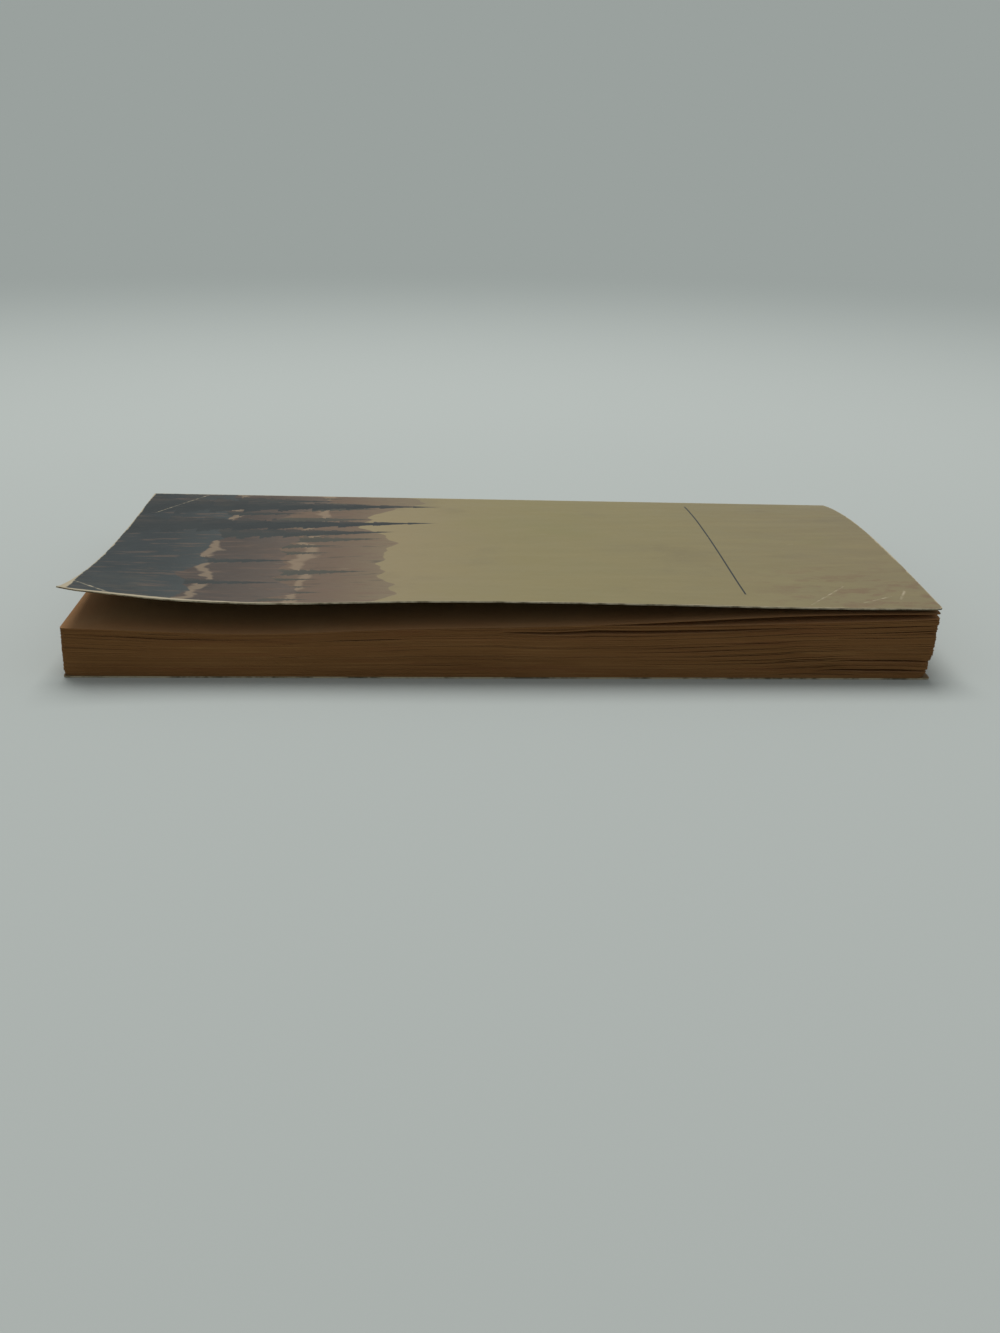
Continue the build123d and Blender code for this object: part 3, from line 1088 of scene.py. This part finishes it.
@dataclass(frozen=True)
class Studio:
    """A pale sweep, soft light from over and behind the book, and the camera.

    Lengths are metres here. The levels are shares of the light at which a colour renders as it is written.
    """

    floor: Colour = tint(181, 186, 182)
    backdrop: Colour = tint(154, 161, 158)
    sky_level: float = 0.38
    key_level: float = 0.68
    key_place: tuple[float, float, float] = (-0.15, 0.75, 1.7)
    key_size: float = 1.1
    floor_radius: float = 1.2
    wall_height: float = 1.4
    floor_drop: float = 0.00003
    matt_radius: float = 0.2
    even_radius: float = 0.75
    sides: int = 96
    camera_place: tuple[float, float, float] = (-0.01006, -0.34514, 0.10869)
    camera_fall: float = 19.954
    camera_turn: float = 1.855
    camera_roll: float = 0.794
    lens: float = 42.0

    def sweep(self) -> bpy.types.Object:
        """Makes the floor and the wall round it: a disc that turns up through a quarter circle.

        A point at radius r and angle a keeps its angle. Out to floor_radius it lies at height 0, then it
        follows a quarter circle of the same radius as the wall's height, in 24 steps.
        """
        flat = np.linspace(0.0, self.floor_radius, 13)
        turn = np.linspace(0, np.pi / 2, 25)[1:]
        radius = np.concatenate([flat, self.floor_radius + self.wall_height * np.sin(turn)])
        height = np.concatenate([0 * flat, self.wall_height * (1 - np.cos(turn))])
        angle = np.linspace(0, 2 * np.pi, self.sides + 1)[:-1]
        ring = np.stack([np.cos(angle), np.sin(angle)], -1)
        level = np.zeros((len(radius) - 1, self.sides, 1))
        rings = np.concatenate([ring[None] * radius[1:, None, None], level], -1)
        rings[..., 2] = height[1:, None]
        points = np.concatenate([[[0.0, 0.0, 0.0]], rings.reshape(-1, 3)])
        column = np.arange(self.sides)
        after = np.roll(column, -1)
        start = 1 + self.sides * np.arange(len(radius) - 2)[:, None]
        outer = start + self.sides
        quads = np.stack([start + column, outer + column, outer + after, start + after], -1)
        middle = np.stack([0 * column, 1 + column, 1 + after], -1)
        mesh = bpy.data.meshes.new("sweep")
        mesh.from_pydata(points.tolist(), [], middle.tolist() + quads.reshape(-1, 4).tolist())
        mesh.polygons.foreach_set("use_smooth", np.ones(len(mesh.polygons), bool))
        piece = bpy.data.objects.new("sweep", mesh)
        bpy.context.scene.collection.objects.link(piece)
        mesh.materials.append(self.sweep_finish())
        piece.location.z = -self.floor_drop
        return piece

    def sweep_finish(self) -> bpy.types.Material:
        """Matt pale grey near the book, which holds its shadow, and an even pale tone further off."""
        g = Graph("pale_sweep")
        place = g.node("ShaderNodeTexCoord").outputs["Object"]
        far = g.node("ShaderNodeVectorMath", {0: place}, operation="LENGTH").outputs["Value"]
        matt = g.node("ShaderNodeBsdfDiffuse", {"Color": self.floor})
        even = g.node("ShaderNodeEmission", {"Color": self.backdrop, "Strength": 1.0})
        off = g.ease(far, self.matt_radius, self.even_radius)
        mixed = g.node("ShaderNodeMixShader", {0: off, 1: matt.outputs[0], 2: even.outputs[0]})
        g.node("ShaderNodeOutputMaterial", {"Surface": mixed.outputs[0]})
        return g.material

    def light(self) -> None:
        """Sets the sky and hangs the lamp.

        A lamp of power P gives about P / (pi d^2) at a distance d. Light of strength pi renders a colour as
        it is written, so P is level * pi^2 * d^2, and more where the lamp hangs aslant.
        """
        world = bpy.data.worlds.new("sky")
        world.use_nodes = True
        background = world.node_tree.nodes["Background"]
        background.inputs["Color"].default_value = tint(248, 252, 255)
        background.inputs["Strength"].default_value = self.sky_level
        bpy.context.scene.world = world
        lamp = bpy.data.lights.new("overhead", "AREA")
        lamp.shape = "SQUARE"
        lamp.size = self.key_size
        place = Vector(self.key_place)
        lamp.energy = self.key_level * math.pi**2 * place.length_squared / (place.z / place.length)
        holder = bpy.data.objects.new("overhead", lamp)
        holder.location = place
        holder.rotation_euler = (-place).to_track_quat("-Z", "Y").to_euler()
        bpy.context.scene.collection.objects.link(holder)

    def camera(self) -> None:
        """Sets the camera from its place and its three angles."""
        fall, turn, roll = (math.radians(a) for a in (self.camera_fall, self.camera_turn, self.camera_roll))
        ahead = Vector((math.sin(turn) * math.cos(fall), math.cos(turn) * math.cos(fall), -math.sin(fall)))
        right = Vector((math.cos(turn), -math.sin(turn), 0))
        above = right.cross(ahead)
        right, above = (
            math.cos(roll) * right + math.sin(roll) * above,
            math.cos(roll) * above - math.sin(roll) * right,
        )
        data = bpy.data.cameras.new("camera")
        data.lens = self.lens
        data.sensor_width = 36.0
        data.clip_start = 0.01
        holder = bpy.data.objects.new("camera", data)
        turned = Matrix((right, above, -ahead)).transposed().to_4x4()
        holder.matrix_world = Matrix.Translation(self.camera_place) @ turned
        bpy.context.scene.collection.objects.link(holder)
        bpy.context.scene.camera = holder

    def build(self) -> None:
        """Makes the sweep, the light and the camera, and sets how colours are shown."""
        self.sweep()
        self.light()
        self.camera()
        bpy.context.scene.view_settings.view_transform = "Standard"


def main() -> None:
    """Loads the frame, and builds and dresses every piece."""
    logging.basicConfig(level=logging.INFO, format="%(name)s: %(message)s")
    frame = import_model()
    shape = BookShape()
    shape.read_frame(frame)

    Studio().build()
    paper = PagePaper()
    face = paper.face()
    Leaves(shape).build([face, face, paper.cut()])
    card = CoverCard()
    card_faces = [card.outside(), card.bare_side(), card.cut_side()]
    wrapper = Wrapper(shape)
    wrapper.build_front(card_faces)
    wrapper.build_back(card_faces)
    glue = frame["nodes"]["spine_glue"]
    glue.data.materials.clear()
    glue.data.materials.append(HotMelt().film())
    LOG.info("spine_glue: dressed")


if __name__ == "__main__":
    main()
